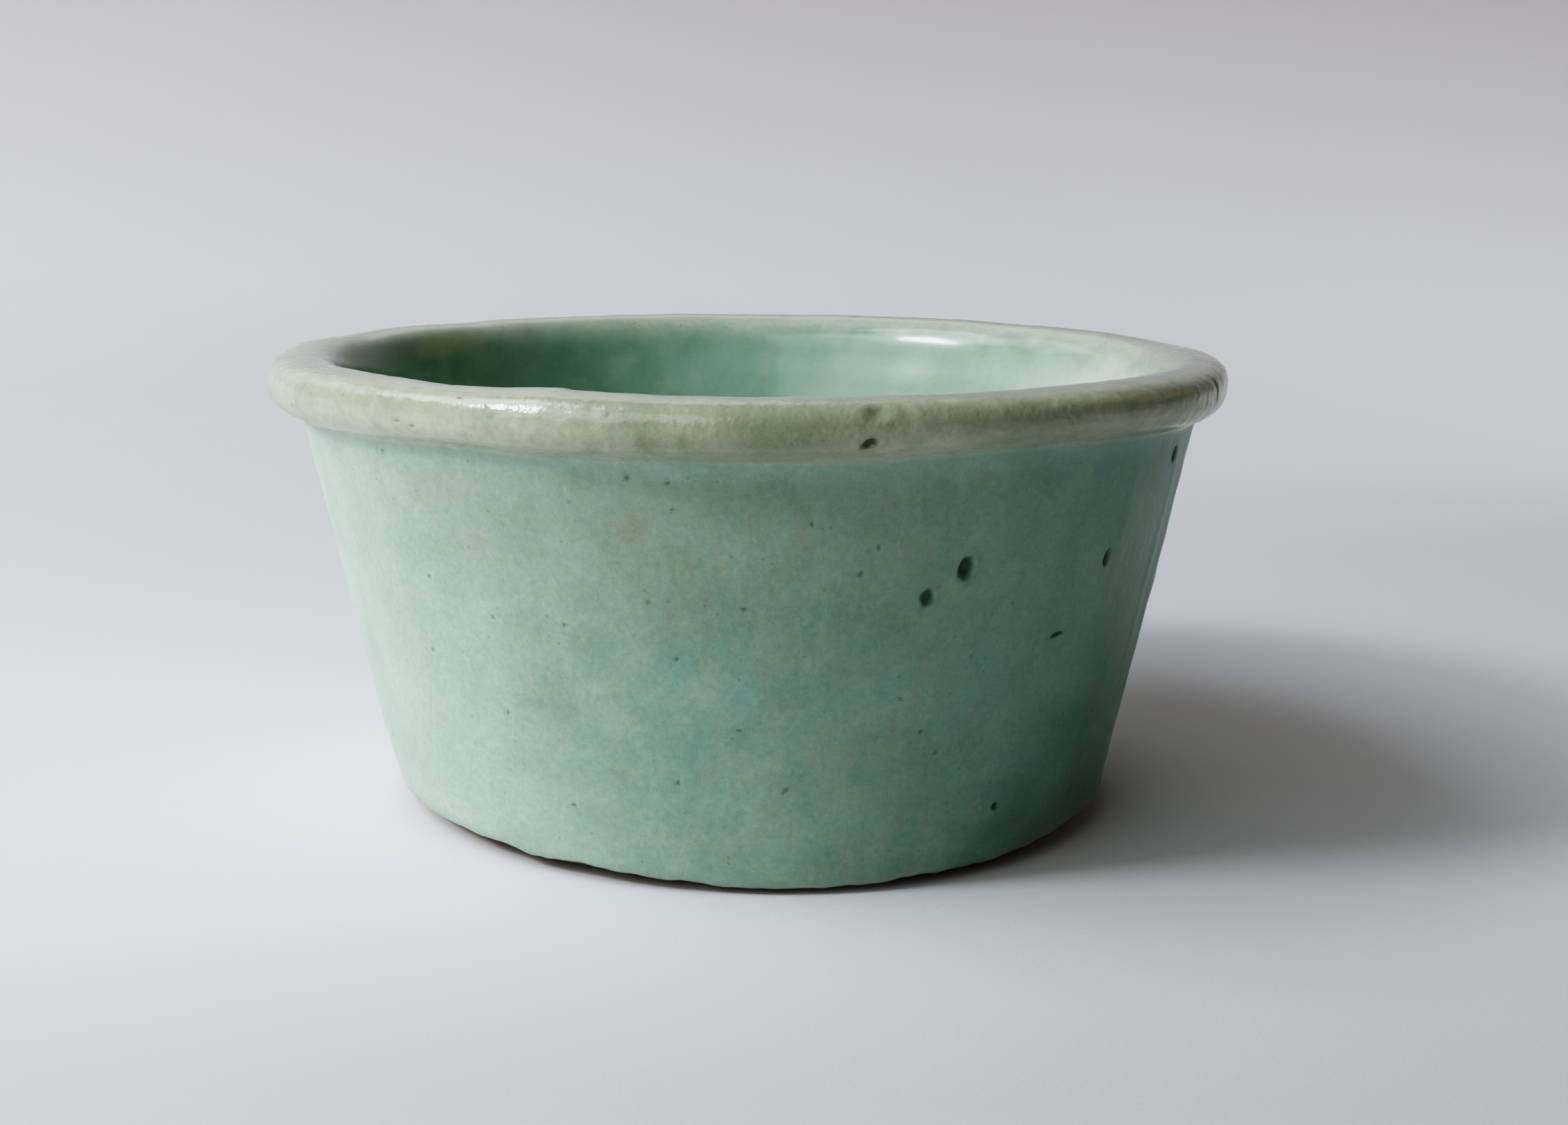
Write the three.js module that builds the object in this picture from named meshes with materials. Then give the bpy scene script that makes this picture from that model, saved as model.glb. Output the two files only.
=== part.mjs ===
// Squat glazed earthenware cup with a flaring wall and a thick rolled rim.
// Millimetres, +Z up. The origin is the centre of the foot, on the surface the cup stands on.
//
// The cup is one thrown and fired clay body under a vitreous glaze. The glaze lies on the clay in
// three zones that differ in thickness and colour:
//   outer_glaze  the wall, from the line above the foot to the crease under the rim
//   rim_glaze    over the rolled rim, from the crease to the lip, where the glaze runs thin and pale
//   inner_glaze  the bowl, wall and floor
// The foot, set back under the edge of the glaze, and the underside stay bare clay.
import * as THREE from "three";

// ---- driving dimensions ----
const RIM_R = 37.5; // outermost radius of the rolled rim
const HEIGHT = 35.5; // foot to crest of the rim
const CREST_R = 34.3; // radius of the rim's highest circle
const LIP_R = 31.9; // inner edge of the rim, where the bowl begins
const LIP_Z = 34.25;
const CREASE_R = 34.9; // crease under the rolled rim, where the wall ends
const CREASE_Z = 31.05;
const WALL_R0 = 28.06; // wall line carried down to the foot plane
const WALL_SLOPE = 0.2162; // radius gained per millimetre of height
const GLAZE_LINE_Z = 0.65; // where the outer glaze stops above the foot
const FOOT_R = 25.2; // outer radius of the resting face
const FOOT_RECESS_R = 18.5; // shallow turned recess under the floor
const FOOT_RECESS = 0.7;
const FLOOR_Z = 3.7; // top of the glazed floor at its centre
const BOWL_R0 = 24.36; // inner wall line carried down to the foot plane
const BOWL_SLOPE = 0.2145;
const OUTER_GLAZE = 0.45; // glaze thickness on the wall
const RIM_GLAZE = 0.3; // thinner over the rim
const INNER_GLAZE = 0.4; // in the bowl
const SEGMENTS = 48;

// ---- profile helpers: a profile is a list of [radius, height] ----
const wall = (z) => [WALL_R0 + WALL_SLOPE * z, z];
const bowl = (z) => [BOWL_R0 + BOWL_SLOPE * z, z];

// Moves each point of an open profile to its left (d > 0) by d, along the mean of its two edge normals.
// An end point moves along a normal of its own where one is given.
function offset(profile, d, startNormal, endNormal) {
  return profile.map(([r, z], i) => {
    const a = profile[Math.max(i - 1, 0)],
      b = profile[Math.min(i + 1, profile.length - 1)];
    let n = new THREE.Vector2(-(b[1] - a[1]), b[0] - a[0]).normalize();
    if (i === 0 && startNormal) n = startNormal;
    if (i === profile.length - 1 && endNormal) n = endNormal;
    const k = typeof d === "function" ? d(i / (profile.length - 1)) : d;
    return [r + n.x * k, z + n.y * k];
  });
}

// A closed solid of revolution about +Z.
function lathe(profile, material, name) {
  const points = profile.map(([r, z]) => new THREE.Vector2(Math.max(r, 0), z));
  const geometry = new THREE.LatheGeometry(points, SEGMENTS);
  geometry.rotateX(Math.PI / 2); // the lathe turns about +Y
  const mesh = new THREE.Mesh(geometry, material);
  mesh.name = name;
  return mesh;
}

// ---- glazed surface, from the glaze line up, over the rim and down to the middle of the floor ----
const wallSurface = [
  wall(GLAZE_LINE_Z),
  wall(3.5),
  wall(8.5),
  wall(14.5),
  wall(20.5),
  wall(25.5),
  wall(28.8),
  [34.62, 30.3],
  [CREASE_R, CREASE_Z],
];
const rimSurface = [
  [CREASE_R, CREASE_Z],
  [35.38, 31.36],
  [36.02, 31.6],
  [36.68, 31.94],
  [37.18, 32.42],
  [37.43, 33.02],
  [RIM_R, 33.65],
  [37.45, 34.22],
  [37.2, 34.72],
  [36.75, 35.08],
  [36.1, 35.32],
  [35.2, 35.46],
  [CREST_R, HEIGHT],
  [33.3, 35.34],
  [32.45, 34.92],
  [LIP_R, LIP_Z],
];
const bowlSurface = [
  [LIP_R, LIP_Z],
  [31.52, 33.3],
  bowl(31.5),
  bowl(25.5),
  bowl(19.5),
  bowl(13.5),
  bowl(9.0),
  [25.55, 6.7],
  [24.2, 5.1],
  [22.2, 4.28],
  [19.5, 3.98],
  [12, 3.78],
  [0, FLOOR_Z],
];

// ---- clay surface under the glaze ----
const up = new THREE.Vector2(0, 1);
const creaseNormal = new THREE.Vector2(-0.78, 0.63); // into the clay at the crease under the rim
const lipNormal = new THREE.Vector2(0.87, -0.49); // into the clay at the inner edge of the rim
// The wall's glaze thins to the rim's thickness where the two zones meet, and so does the bowl's.
const clayWall = offset(
  wallSurface,
  (t) => (t > 0.95 ? RIM_GLAZE : OUTER_GLAZE),
  undefined,
  creaseNormal,
);
const clayRim = offset(rimSurface, RIM_GLAZE, creaseNormal, lipNormal);
const clayBowl = offset(
  bowlSurface,
  (t) => (t < 0.05 ? RIM_GLAZE : INNER_GLAZE),
  lipNormal,
  up.clone().negate(),
);

// ---- materials ----
const clay = new THREE.MeshStandardMaterial({
  color: new THREE.Color(0.36, 0.25, 0.15),
  roughness: 0.85,
  metalness: 0,
});
const celadon = new THREE.MeshStandardMaterial({
  color: new THREE.Color(0.27, 0.38, 0.28),
  roughness: 0.25,
  metalness: 0,
});
const paleGlaze = new THREE.MeshStandardMaterial({
  color: new THREE.Color(0.38, 0.4, 0.29),
  roughness: 0.22,
  metalness: 0,
});
const bowlGlaze = new THREE.MeshStandardMaterial({
  color: new THREE.Color(0.3, 0.43, 0.33),
  roughness: 0.18,
  metalness: 0,
});

// ---- pieces ----
const cup = new THREE.Group();

// The clay body: underside recess, resting face, bevelled bare foot, wall, rim, bowl, back to the axis.
cup.add(
  lathe(
    [
      [0, FOOT_RECESS],
      [FOOT_RECESS_R - 1.6, FOOT_RECESS],
      [FOOT_RECESS_R, 0],
      [FOOT_R, 0],
      [FOOT_R + 0.4, 0.08],
      [FOOT_R + 1.4, 0.35],
      [clayWall[0][0] - 0.05, 0.6],
      ...clayWall,
      ...clayRim.slice(1),
      ...clayBowl.slice(1),
    ],
    clay,
    "cup_body",
  ),
);

const closed = (outer, inner) => [
  ...outer,
  ...inner.slice().reverse(),
  outer[0],
];
cup.add(
  lathe(closed(clayWall, wallSurface).reverse(), celadon, "outer_glaze"),
  lathe(closed(clayRim, rimSurface).reverse(), paleGlaze, "rim_glaze"),
  // The bowl's glaze reaches the axis, so its profile starts and ends there.
  lathe(
    [...clayBowl.slice().reverse(), ...bowlSurface],
    bowlGlaze,
    "inner_glaze",
  ),
);

export default cup;
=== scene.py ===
"""A small thrown cup with a rolled rim, glazed in mottled green inside and out, standing on pale paper.

The clay body and its three glaze coats are built as closed shells on one profile, in millimetres, and are
then given what a hand-made cup has: a slight lean, a wavy rim, pooled glaze, pits, runs and a rough bare foot. In
places light and shade are also painted into the colours of the glaze, the bare foot and the paper.
"""

import math
from itertools import product

import bmesh
import bpy
import numpy as np
from mathutils import Matrix, Vector


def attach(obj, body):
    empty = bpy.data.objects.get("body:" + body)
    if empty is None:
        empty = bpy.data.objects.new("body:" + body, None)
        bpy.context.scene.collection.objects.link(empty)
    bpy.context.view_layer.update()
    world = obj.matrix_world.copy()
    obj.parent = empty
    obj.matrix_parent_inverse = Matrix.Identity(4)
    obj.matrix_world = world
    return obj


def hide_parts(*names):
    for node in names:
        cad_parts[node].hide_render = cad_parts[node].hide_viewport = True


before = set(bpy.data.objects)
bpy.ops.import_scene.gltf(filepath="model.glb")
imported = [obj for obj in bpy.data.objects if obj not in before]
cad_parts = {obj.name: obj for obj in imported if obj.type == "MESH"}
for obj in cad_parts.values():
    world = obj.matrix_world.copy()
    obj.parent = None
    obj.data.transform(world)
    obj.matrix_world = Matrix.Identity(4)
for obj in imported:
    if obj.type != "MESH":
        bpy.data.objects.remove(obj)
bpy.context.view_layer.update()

MM = 0.001
TURN = 2 * math.pi
BACK = math.pi / 2  # every seam of a mesh runs up the back

# ---------------------------------------------------------------- profile

WALL_R0, WALL_SLOPE = 27.95, 0.2162
BOWL_R0, BOWL_SLOPE = 24.25, 0.2145
OUTER_GLAZE, RIM_GLAZE, INNER_GLAZE = 0.45, 0.3, 0.4
CLAY_GAP = 0.02


def on_wall(z):
    return (WALL_R0 + WALL_SLOPE * z, z)


def on_bowl(z):
    return (BOWL_R0 + BOWL_SLOPE * z, z)


CREASE, CREST, LIP = (34.9, 31.55), (34.3, 36.0), (31.9, 34.75)
# Up the outer wall, over the rolled rim and down the bowl to its middle: radius and height.
CURVE = [
    on_wall(-0.8), on_wall(1.15), on_wall(4), on_wall(9), on_wall(15), on_wall(21), on_wall(26), on_wall(29.3), (34.62, 30.8), CREASE,
    (35.38, 31.86), (36.02, 32.1), (36.68, 32.44), (37.18, 32.92), (37.43, 33.52), (37.5, 34.15), (37.45, 34.72), (37.2, 35.22),
    (36.75, 35.58), (36.1, 35.82), (35.2, 35.96), CREST, (33.3, 35.84), (32.45, 35.42), LIP, (31.52, 33.8),
    on_bowl(32), on_bowl(26), on_bowl(20), on_bowl(14), on_bowl(9.5),
    (25.55, 7.2), (24.2, 5.6), (22.2, 4.78), (19.5, 4.48), (12.0, 4.28), (0.0, 4.2),
]  # fmt: skip


def spline(points, step=0.05):
    """Distances along a natural cubic spline through the points, and the points at those distances."""
    p = np.array(points, float)
    t = np.concatenate([[0], np.cumsum(np.sqrt(np.linalg.norm(np.diff(p, axis=0), axis=1)))])
    n, h = len(p), np.diff(t)
    a, b = np.zeros((n, n)), np.zeros((n, 2))
    a[0, 0] = a[-1, -1] = 1
    for i in range(1, n - 1):
        a[i, i - 1 : i + 2] = h[i - 1], 2 * (h[i - 1] + h[i]), h[i]
        b[i] = 6 * ((p[i + 1] - p[i]) / h[i] - (p[i] - p[i - 1]) / h[i - 1])
    m = np.linalg.solve(a, b)
    q = np.linspace(t[0], t[-1], 20000)
    k = np.clip(np.searchsorted(t, q, "right") - 1, 0, n - 2)
    u, w, hk = (t[k + 1] - q)[:, None], (q - t[k])[:, None], h[k][:, None]
    c = (m[k] * u**3 + m[k + 1] * w**3) / (6 * hk)
    c += (p[k] / hk - m[k] * hk / 6) * u + (p[k + 1] / hk - m[k + 1] * hk / 6) * w
    s = np.concatenate([[0], np.cumsum(np.linalg.norm(np.diff(c, axis=0), axis=1))])
    e = np.append(np.arange(0, s[-1], step), s[-1])
    return e, np.stack([np.interp(e, s, c[:, 0]), np.interp(e, s, c[:, 1])], 1)


PATH, PROFILE = spline(CURVE)
TANGENT = np.gradient(PROFILE, PATH, axis=0)
TANGENT /= np.linalg.norm(TANGENT, axis=1)[:, None]
NORMAL = np.stack([TANGENT[:, 1], -TANGENT[:, 0]], 1)  # out of the glaze, into the air


def along(point):
    """Distance along the profile of the place nearest to a point."""
    return float(PATH[np.linalg.norm(PROFILE - point, axis=1).argmin()])


S_CREASE, S_CREST, S_LIP, S_NECK = along(CREASE), along(CREST), along(LIP), along(on_wall(29.3))
S_END = float(PATH[-1])


def wall_s(z):
    return along(on_wall(z))


def at(s):
    """Radius, height and normal of the plain profile at distances s."""
    return [np.interp(s, PATH, c) for c in (PROFILE[:, 0], PROFILE[:, 1], NORMAL[:, 0], NORMAL[:, 1])]


# ---------------------------------------------------------------- noise and easing


def ease(x, a, b):
    """0 below a, 1 above b, smooth between them; a may be above b."""
    t = np.clip((x - a) / (b - a), 0, 1)
    return t * t * (3 - 2 * t)


def coat(s):
    """Thickness of the glaze along the profile."""
    thin = (RIM_GLAZE - OUTER_GLAZE) * ease(s, S_CREASE - 1.5, S_CREASE)
    return OUTER_GLAZE + thin + (INNER_GLAZE - RIM_GLAZE) * ease(s, S_LIP, S_LIP + 1.5)


def bump(x, width):
    return np.exp(-((x / width) ** 2))


def turn_from(theta, degrees):
    """Signed angle from a bearing in degrees, in radians."""
    return (theta - math.radians(degrees) + math.pi) % TURN - math.pi


def noise(p, size, seed):
    """Seeded gradient noise, about -1 to 1, at points p of shape (n, 3), with features of that size."""
    rng = np.random.default_rng(seed)
    order = rng.permutation(512)
    slope = rng.normal(size=(512, 3))
    slope /= np.linalg.norm(slope, axis=1)[:, None]
    q = p / size + 37.0
    cell = np.floor(q).astype(np.int64)
    f = q - cell
    w = f * f * f * (f * (f * 6 - 15) + 10)
    total = np.zeros(len(p))
    for corner in product((0, 1), repeat=3):
        c = cell + corner
        g = slope[order[(order[(order[c[:, 0] % 512] + c[:, 1]) % 512] + c[:, 2]) % 512]]
        weight = np.prod(np.where(np.array(corner) == 1, w, 1 - w), axis=1)
        total += weight * ((f - corner) * g).sum(1)
    return total * 1.7


# ---------------------------------------------------------------- the potter's hand

SINK = 0.5
LEAN, TILT = 0.75, 0.0214  # the foot sits a little to one side, and one side of the rim is higher

# Height of the glaze's lower edge round the foot: bearing in degrees from +X, height in mm.
GLAZE_EDGE = [
    (-180, 1.55), (-150, 1.95), (-131, 1.8), (-122, 1.45), (-112, 1.66), (-106, 1.46), (-101, 1.24), (-97, 1.28),
    (-92, 0.93), (-79, 0.92), (-70, 0.96), (-66, 1.3), (-58, 1.28), (-49, 1.45), (-37, 1.95), (-27, 2.35),
    (-14, 2.3), (5, 1.9), (22, 1.5), (40, 1.15), (58, 1.5), (75, 1.2), (95, 1.75), (118, 1.3), (140, 1.0), (160, 1.35), (180, 1.55),
]  # fmt: skip

# How far the roll's lower side rides up or down: bearing, height in mm.
ROLL_RIDE = [
    (-180, -0.28), (-155, -0.15), (-135, 0.1), (-120, 0.22), (-90, 0.2), (-78, 0.25), (-70, 0.42), (-60, 0.6), (-50, 0.55), (-38, 0.35),
    (-25, 0.0), (-10, -0.22), (0, -0.25), (30, 0.0), (60, 0.15), (100, -0.1), (140, 0.1), (180, -0.28),
]  # fmt: skip

# Burst bubbles and pinholes: bearing, distance along the profile, half width, half height, depth, slant, darkness (of
# pooled glaze, and partly painted shade in the hollow).
PITS = [
    (-62.7, 25.55, 0.70, 0.95, 0.40, -14, 1.0), (-67.4, 23.65, 0.62, 0.74, 0.24, -18, 0.85), (-38.7, 24.80, 0.46, 0.72, 0.30, -8, 0.95),
    (-24.2, 31.30, 0.58, 0.66, 0.30, 0, 0.95), (-51.8, 6.85, 0.38, 0.34, 0.18, 0, 0.95), (-77.1, 36.15, 0.72, 0.45, 0.30, 30, 0.95),
    (-46.2, 19.70, 0.80, 0.17, 0.12, 8, 0.9), (-22.8, 37.6, 0.20, 1.15, 0.18, 6, 0.9), (-76.4, 38.3, 1.15, 0.75, 0.20, 12, 0.12),
    (152.0, 22.4, 0.45, 0.60, 0.24, 10, 0.9), (118.0, 12.3, 0.36, 0.42, 0.18, 0, 0.8), (64.0, 26.6, 0.55, 0.72, 0.28, -8, 0.95),
    (21.0, 17.2, 0.40, 0.48, 0.20, 0, 0.85), (101.0, 36.6, 0.46, 0.36, 0.18, 20, 0.85), (38.0, 8.6, 0.30, 0.34, 0.15, 0, 0.8),
]  # fmt: skip

# Small dark specks in the glaze: bearing, distance along the profile, radius.
SPECKS = [
    (-135.5, 32.4, 0.15), (-131.6, 23.4, 0.17), (-121.7, 21.1, 0.15), (-111.3, 21.2, 0.13), (-134.1, 17.35, 0.13), (-102.0, 32.0, 0.21),
    (-97.6, 31.7, 0.15), (-97.2, 30.0, 0.15), (-74.2, 27.35, 0.13), (-76.1, 25.55, 0.13), (-82.0, 29.05, 0.12), (-89.5, 23.1, 0.13),
    (-100.5, 23.45, 0.11), (-97.5, 19.35, 0.16), (-121.9, 13.8, 0.13), (-113.4, 7.3, 0.14), (-98.1, 10.0, 0.14), (-89.9, 14.2, 0.12),
    (-84.0, 9.7, 0.14), (-69.5, 16.35, 0.15), (-66.2, 13.7, 0.17), (-63.7, 11.95, 0.15), (-149.1, 36.45, 0.16), (-127.4, 36.65, 0.13),
    (-125.5, 36.35, 0.13), (-119.5, 38.75, 0.13), (-102.7, 38.0, 0.13),
]  # fmt: skip
_rng = np.random.default_rng(41)
SPECKS += [
    (float(_rng.uniform(-15, 205)), float(_rng.uniform(5, 39)), float(_rng.uniform(0.1, 0.17))) for _ in range(58)
]

# Vertical runs where the glaze has flowed: bearing, top and bottom along the profile, half width, height.
RUNS = [
    (-22.0, 31.5, 17.0, 0.55, 0.07), (-16.5, 31.0, 12.0, 0.75, 0.09), (-10.0, 31.5, 20.0, 0.60, 0.07), (-3.0, 31.0, 9.0, 0.90, 0.10),
    (14.0, 31.0, 15.0, 0.80, 0.11), (33.0, 31.0, 19.0, 0.70, 0.10), (57.0, 31.0, 8.0, 0.95, 0.13), (88.0, 31.0, 16.0, 0.80, 0.10),
    (121.0, 31.0, 12.0, 0.85, 0.12), (158.0, 31.0, 18.0, 0.70, 0.09), (-165.0, 31.0, 21.0, 0.80, 0.07), (-36.0, 30.5, 21.0, 0.60, 0.05),
]  # fmt: skip


def edge_height(theta):
    """Height of the glaze's lower edge at each bearing."""
    deg = np.degrees((theta + math.pi) % TURN - math.pi)
    table = np.array(GLAZE_EDGE)
    q = np.stack([28 * np.cos(theta), 28 * np.sin(theta), np.zeros_like(theta)], 1)
    return np.interp(deg, table[:, 0], table[:, 1]) + 0.13 * noise(q, 2.6, 71) + 0.09 * noise(q, 1.1, 72)


def in_spot(theta, s, spot):
    """Elliptical distance from a spot's middle, 1 at its edge, for spots given as bearing, s, half sizes and slant."""
    bearing, s0, half_w, half_h, slant = spot
    a = turn_from(theta, bearing) * np.interp(s0, PATH, PROFILE[:, 0])
    b = s - s0
    c, d = math.cos(math.radians(slant)), math.sin(math.radians(slant))
    return np.hypot((a * c + b * d) / half_w, (b * c - a * d) / half_h)


def dents(theta, s):
    """Depth of pits and specks under the plain glaze surface, with a faint raised edge round each pit."""
    depth = np.zeros_like(theta)
    for i, (bearing, s0, half_w, half_h, deep, slant, dark) in enumerate(PITS):
        rho = in_spot(theta, s, (bearing, s0, half_w, half_h, slant))
        near = rho < 3
        q = np.stack([theta[near] * 33, s[near], np.full(near.sum(), 7.0 * i)], 1)
        ragged = rho[near] * (1 + 0.16 * noise(q, 0.55, 83))
        floor_of_pit = 0.3 if dark > 0.3 else 0.0  # a pit has a flat floor, a dimple is round
        depth[near] += deep * (1 - ease(ragged, floor_of_pit, 1.1)) - 0.09 * deep * bump(ragged - 1.25, 0.3)
    for bearing, s0, radius in SPECKS:
        rho = in_spot(theta, s, (bearing, s0, radius, radius, 0))
        near = rho < 2
        depth[near] += 0.07 * (1 - ease(rho[near], 0.2, 1.2))
    return depth


def relief(theta, s):
    """How far the glaze stands off the plain profile, without pits."""
    r, z, nr, nz = at(s)
    p = np.stack([r * np.cos(theta), r * np.sin(theta), z], 1)
    wall = 1 - ease(s, S_NECK, S_CREASE)
    rim = ease(s, S_CREASE - 0.6, S_CREASE + 0.9) * (1 - ease(s, S_LIP - 1, S_LIP + 2))
    bowl = ease(s, S_LIP - 1, S_LIP + 2)
    middle = ease(r, 1.5, 9)  # nothing swirls right at the middle of the bowl
    d = 0.085 * noise(p, 13, 1) + 0.042 * noise(p, 5.2, 2) * (1 - 0.45 * bowl) + 0.014 * noise(p, 1.7, 3) * (1 - 0.6 * bowl)
    # Throwing rings, a slow spiral, stronger in the bowl.
    swirl = np.sin(TURN * (z / 4.3 + theta / TURN)) + 0.5 * np.sin(TURN * (z / 2.7 - theta / TURN * 2) + 1.0)
    d += swirl * (0.018 * wall + 0.035 * bowl * middle * ease(z, 5, 9)) * (0.7 + 0.5 * noise(p, 17, 4))
    ripple = np.sin(TURN * (r / 3.6 + theta / TURN)) * ease(z, 7.5, 5.2) * middle
    d += 0.05 * ripple * bowl
    # The rim was rolled and pressed by hand.
    q = np.stack([34 * np.cos(theta), 34 * np.sin(theta), 0.35 * z], 1)
    d += rim * (0.08 * noise(q, 9, 5) + 0.03 * noise(q, 3.6, 6) + 0.016 * noise(p, 1.3, 7))
    d += 0.19 * bump(s - S_CREST + 2.5, 0.62) * bump(turn_from(theta, -120), 0.55)  # squarer on the left
    d += rim * 0.16 * ease(np.degrees(turn_from(theta, -109.2)), 0.9, -0.9) * bump(turn_from(theta, -118), 0.35) * bump(s - S_CREST, 2.4)
    # A flatter stretch, where a hand pressed the front of the roll.
    a = turn_from(theta, -122) * 36
    d -= rim * 0.17 * np.cos(TURN * a / 24) * bump(a, 12)
    # Runs, and the thick lower edge where the glaze stopped.
    for bearing, top, bottom, half, high in RUNS:
        a = turn_from(theta, bearing) * r + 0.35 * noise(np.stack([np.zeros_like(s) + bearing, s * 0.7, s * 0], 1), 3, 9)
        body = ease(s, top + 1.5, top - 2) * ease(s, bottom - 1.5, bottom + 4)
        tear = 0.7 * bump(s - bottom - 0.4, 1.3) * (s < S_CREASE)
        d += high * bump(a, half) * (body + tear)
    edge = s - np.interp(edge_height(theta), PROFILE[: len(PATH) // 3, 1], PATH[: len(PATH) // 3])
    d += 0.11 * bump(edge - 0.55, 0.62) * (s < S_NECK)
    return d


def place(theta, r, z):
    """Carries a point of the plain turned shape to the hand-made one."""
    # The base is worn round, most of all on the left.
    left = bump(turn_from(theta, 178), 0.6)
    inset, reach = 0.32 + 0.95 * left + 0.1 * np.cos(3 * theta + 0.5), 3.5 + 2.5 * left
    r = r - inset * np.clip((reach - z) / reach, 0, 1) ** 2 * np.clip(r / 27, 0, 1) ** 6
    r = r * (1 + 0.0016 * np.cos(2 * theta + 0.9) + 0.0012 * np.cos(3 * theta - 0.6))
    # The roll was pressed in on the right, and its lower side rides up and down.
    r = r - (0.38 * bump(turn_from(theta, -4), 0.8) + 0.08 * left) * ease(z, 31.2, 33.2) * ease(r, 33, 36)
    table = np.array(ROLL_RIDE)
    ride = np.interp(np.degrees((theta + math.pi) % TURN - math.pi), table[:, 0], table[:, 1])
    z = z + ride * ease(z, 26, 31.4) * (1 - ease(z, 31.7, 34.8)) * ease(r, 32.6, 34.2)
    x, y = r * np.cos(theta), r * np.sin(theta)
    # All of it sits lower on its foot than the lines it was drawn on, and the underside stays.
    out = ease(r, 20, 24.5)
    z = z - SINK * ease(z, 1.2 * (1 - out), 2.6 - 1.5 * out)
    return np.stack([x + LEAN * np.clip((31.9 - z) / 31.9, 0, 1), y, z + TILT * x * ease(z, 8, 32)], 1)


def surface(theta, s, under):
    """Points that lie a given depth under the finished surface of the glaze."""
    r, z, nr, nz = at(s)
    d = relief(theta, s) - dents(theta, s) - under
    d = d * np.clip(r / 0.5, 0, 1) + np.where(r < 0.5, -under, 0)
    return place(theta, r + nr * d, z + nz * d)


# ---------------------------------------------------------------- clouds in the glaze, and painted light and shade

# Patches: bearing, distance along the profile, half width, half height, strength.
BEIGE = [
    (-104, 31.2, 2.6, 1.5, 1.0), (-138, 32.3, 4.0, 1.2, 0.6),
    (-131, 29.5, 4.5, 2.2, 0.9), (-122, 27.5, 5.0, 3.0, 0.55), (-103, 28.8, 3.6, 3.4, 0.9), (-97, 25.5, 2.6, 4.0, 0.6), (-87, 30.4, 5.0, 2.0, 0.45),
    (-113, 21.0, 4.0, 3.0, 0.3), (-70, 30.0, 4.5, 1.6, 0.4), (140, 28.0, 6.0, 3.0, 0.8), (60, 27.0, 5.0, 4.0, 0.6), (95, 16.0, 5.0, 3.0, 0.5), (15, 24.0, 3.5, 4.0, 0.4),
]  # fmt: skip
BLUE = [
    (-42, 30.9, 5.5, 1.1, 0.9), (-26, 30.6, 4.0, 1.2, 0.6),
    (-58.5, 18.5, 2.4, 2.4, 0.9), (-59.5, 16.0, 2.6, 2.2, 0.7), (-96, 18.6, 3.4, 1.8, 0.8), (-90, 16.5, 2.5, 2.0, 0.6), (-74, 17.0, 5.0, 3.0, 0.5),
    (-50, 9.0, 4.5, 4.0, 0.6), (-100, 12.0, 5.0, 3.0, 0.35), (-38, 16.0, 3.0, 4.5, 0.4), (30, 18.0, 5.0, 4.0, 0.7), (105, 24.0, 6.0, 3.0, 0.6), (165, 14.0, 6.0, 4.0, 0.5),
    (-80, 23.0, 3.0, 2.0, 0.35), (-66, 28.5, 4.0, 1.5, 0.4),
]  # fmt: skip
# Lighter patches. Those just under the roll at the front, at s 32.2 to 32.4, are painted light that lifts the roll's
# shadow, and the one at -26.3 is a painted sheen on the shaded right edge; the rest are paler glaze.
LIGHTER_GLAZE_AND_PAINTED_LIGHT = [
    (-117, 5.5, 5.5, 4.0, 0.9), (-126, 9.0, 5.0, 4.0, 0.5), (-100, 16.8, 3.5, 3.0, 0.35), (-142, 20.0, 5.0, 8.0, 0.4), (-111.5, 32.4, 4.0, 0.7, 0.9), (-98.5, 32.2, 3.0, 0.9, 1.0), (-64.3, 32.3, 5.0, 1.1, 1.0), (-26.3, 29.2, 3.0, 2.0, 0.5),
    (-54.3, 16.0, 3.5, 3.0, 0.35),
    (150, 20.0, 7.0, 4.0, 0.5), (80, 9.0, 6.0, 4.0, 0.6), (35, 27.0, 5.0, 3.0, 0.4),
]  # fmt: skip
# Darker patches. Those low on the front right, at bearings -52 to -29, are painted shade on the side turned from the
# lamps; the two on the back are darker glaze.
DARK_GLAZE_AND_PAINTED_SHADE = [(-49, 5.5, 3.0, 3.0, 0.8), (-52, 1.2, 6.0, 2.0, 0.7), (-40, 2.2, 5.0, 3.0, 0.9), (-29, 4.0, 5.0, 5.0, 0.8), (-33, 12.0, 3.0, 6.0, 0.4), (12, 6.0, 6.0, 4.0, 0.5), (70, 4.0, 7.0, 3.0, 0.4)]
CREAM = [
    (-127, 35.6, 13.0, 2.6, 1.0), (-108, 35.6, 6.0, 2.0, 0.4), (-152, 36.2, 6.0, 2.0, 0.7), (130, 36.0, 9.0, 2.2, 0.6), (40, 36.2, 8.0, 2.0, 0.5),
    (-73, 35.5, 3.0, 1.5, 0.5), (-70, 39.4, 5.0, 1.2, 0.5), (-27, 36.2, 7.0, 2.4, 0.8), (-50, 39.4, 6.0, 1.2, 0.4),
]  # fmt: skip
GREEN_MARKS = [(-86.0, 36.6, 3.4, 1.7, 0.85), (-142.0, 39.4, 11.0, 1.7, 0.3), (-99.1, 36.05, 0.55, 0.8, 0.75), (-95.3, 36.1, 0.5, 0.75, 0.6), (-104.0, 35.2, 0.5, 0.4, 0.4), (100.0, 36.5, 1.1, 0.7, 0.8), (30.0, 36.2, 0.7, 0.6, 0.7)]


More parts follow.
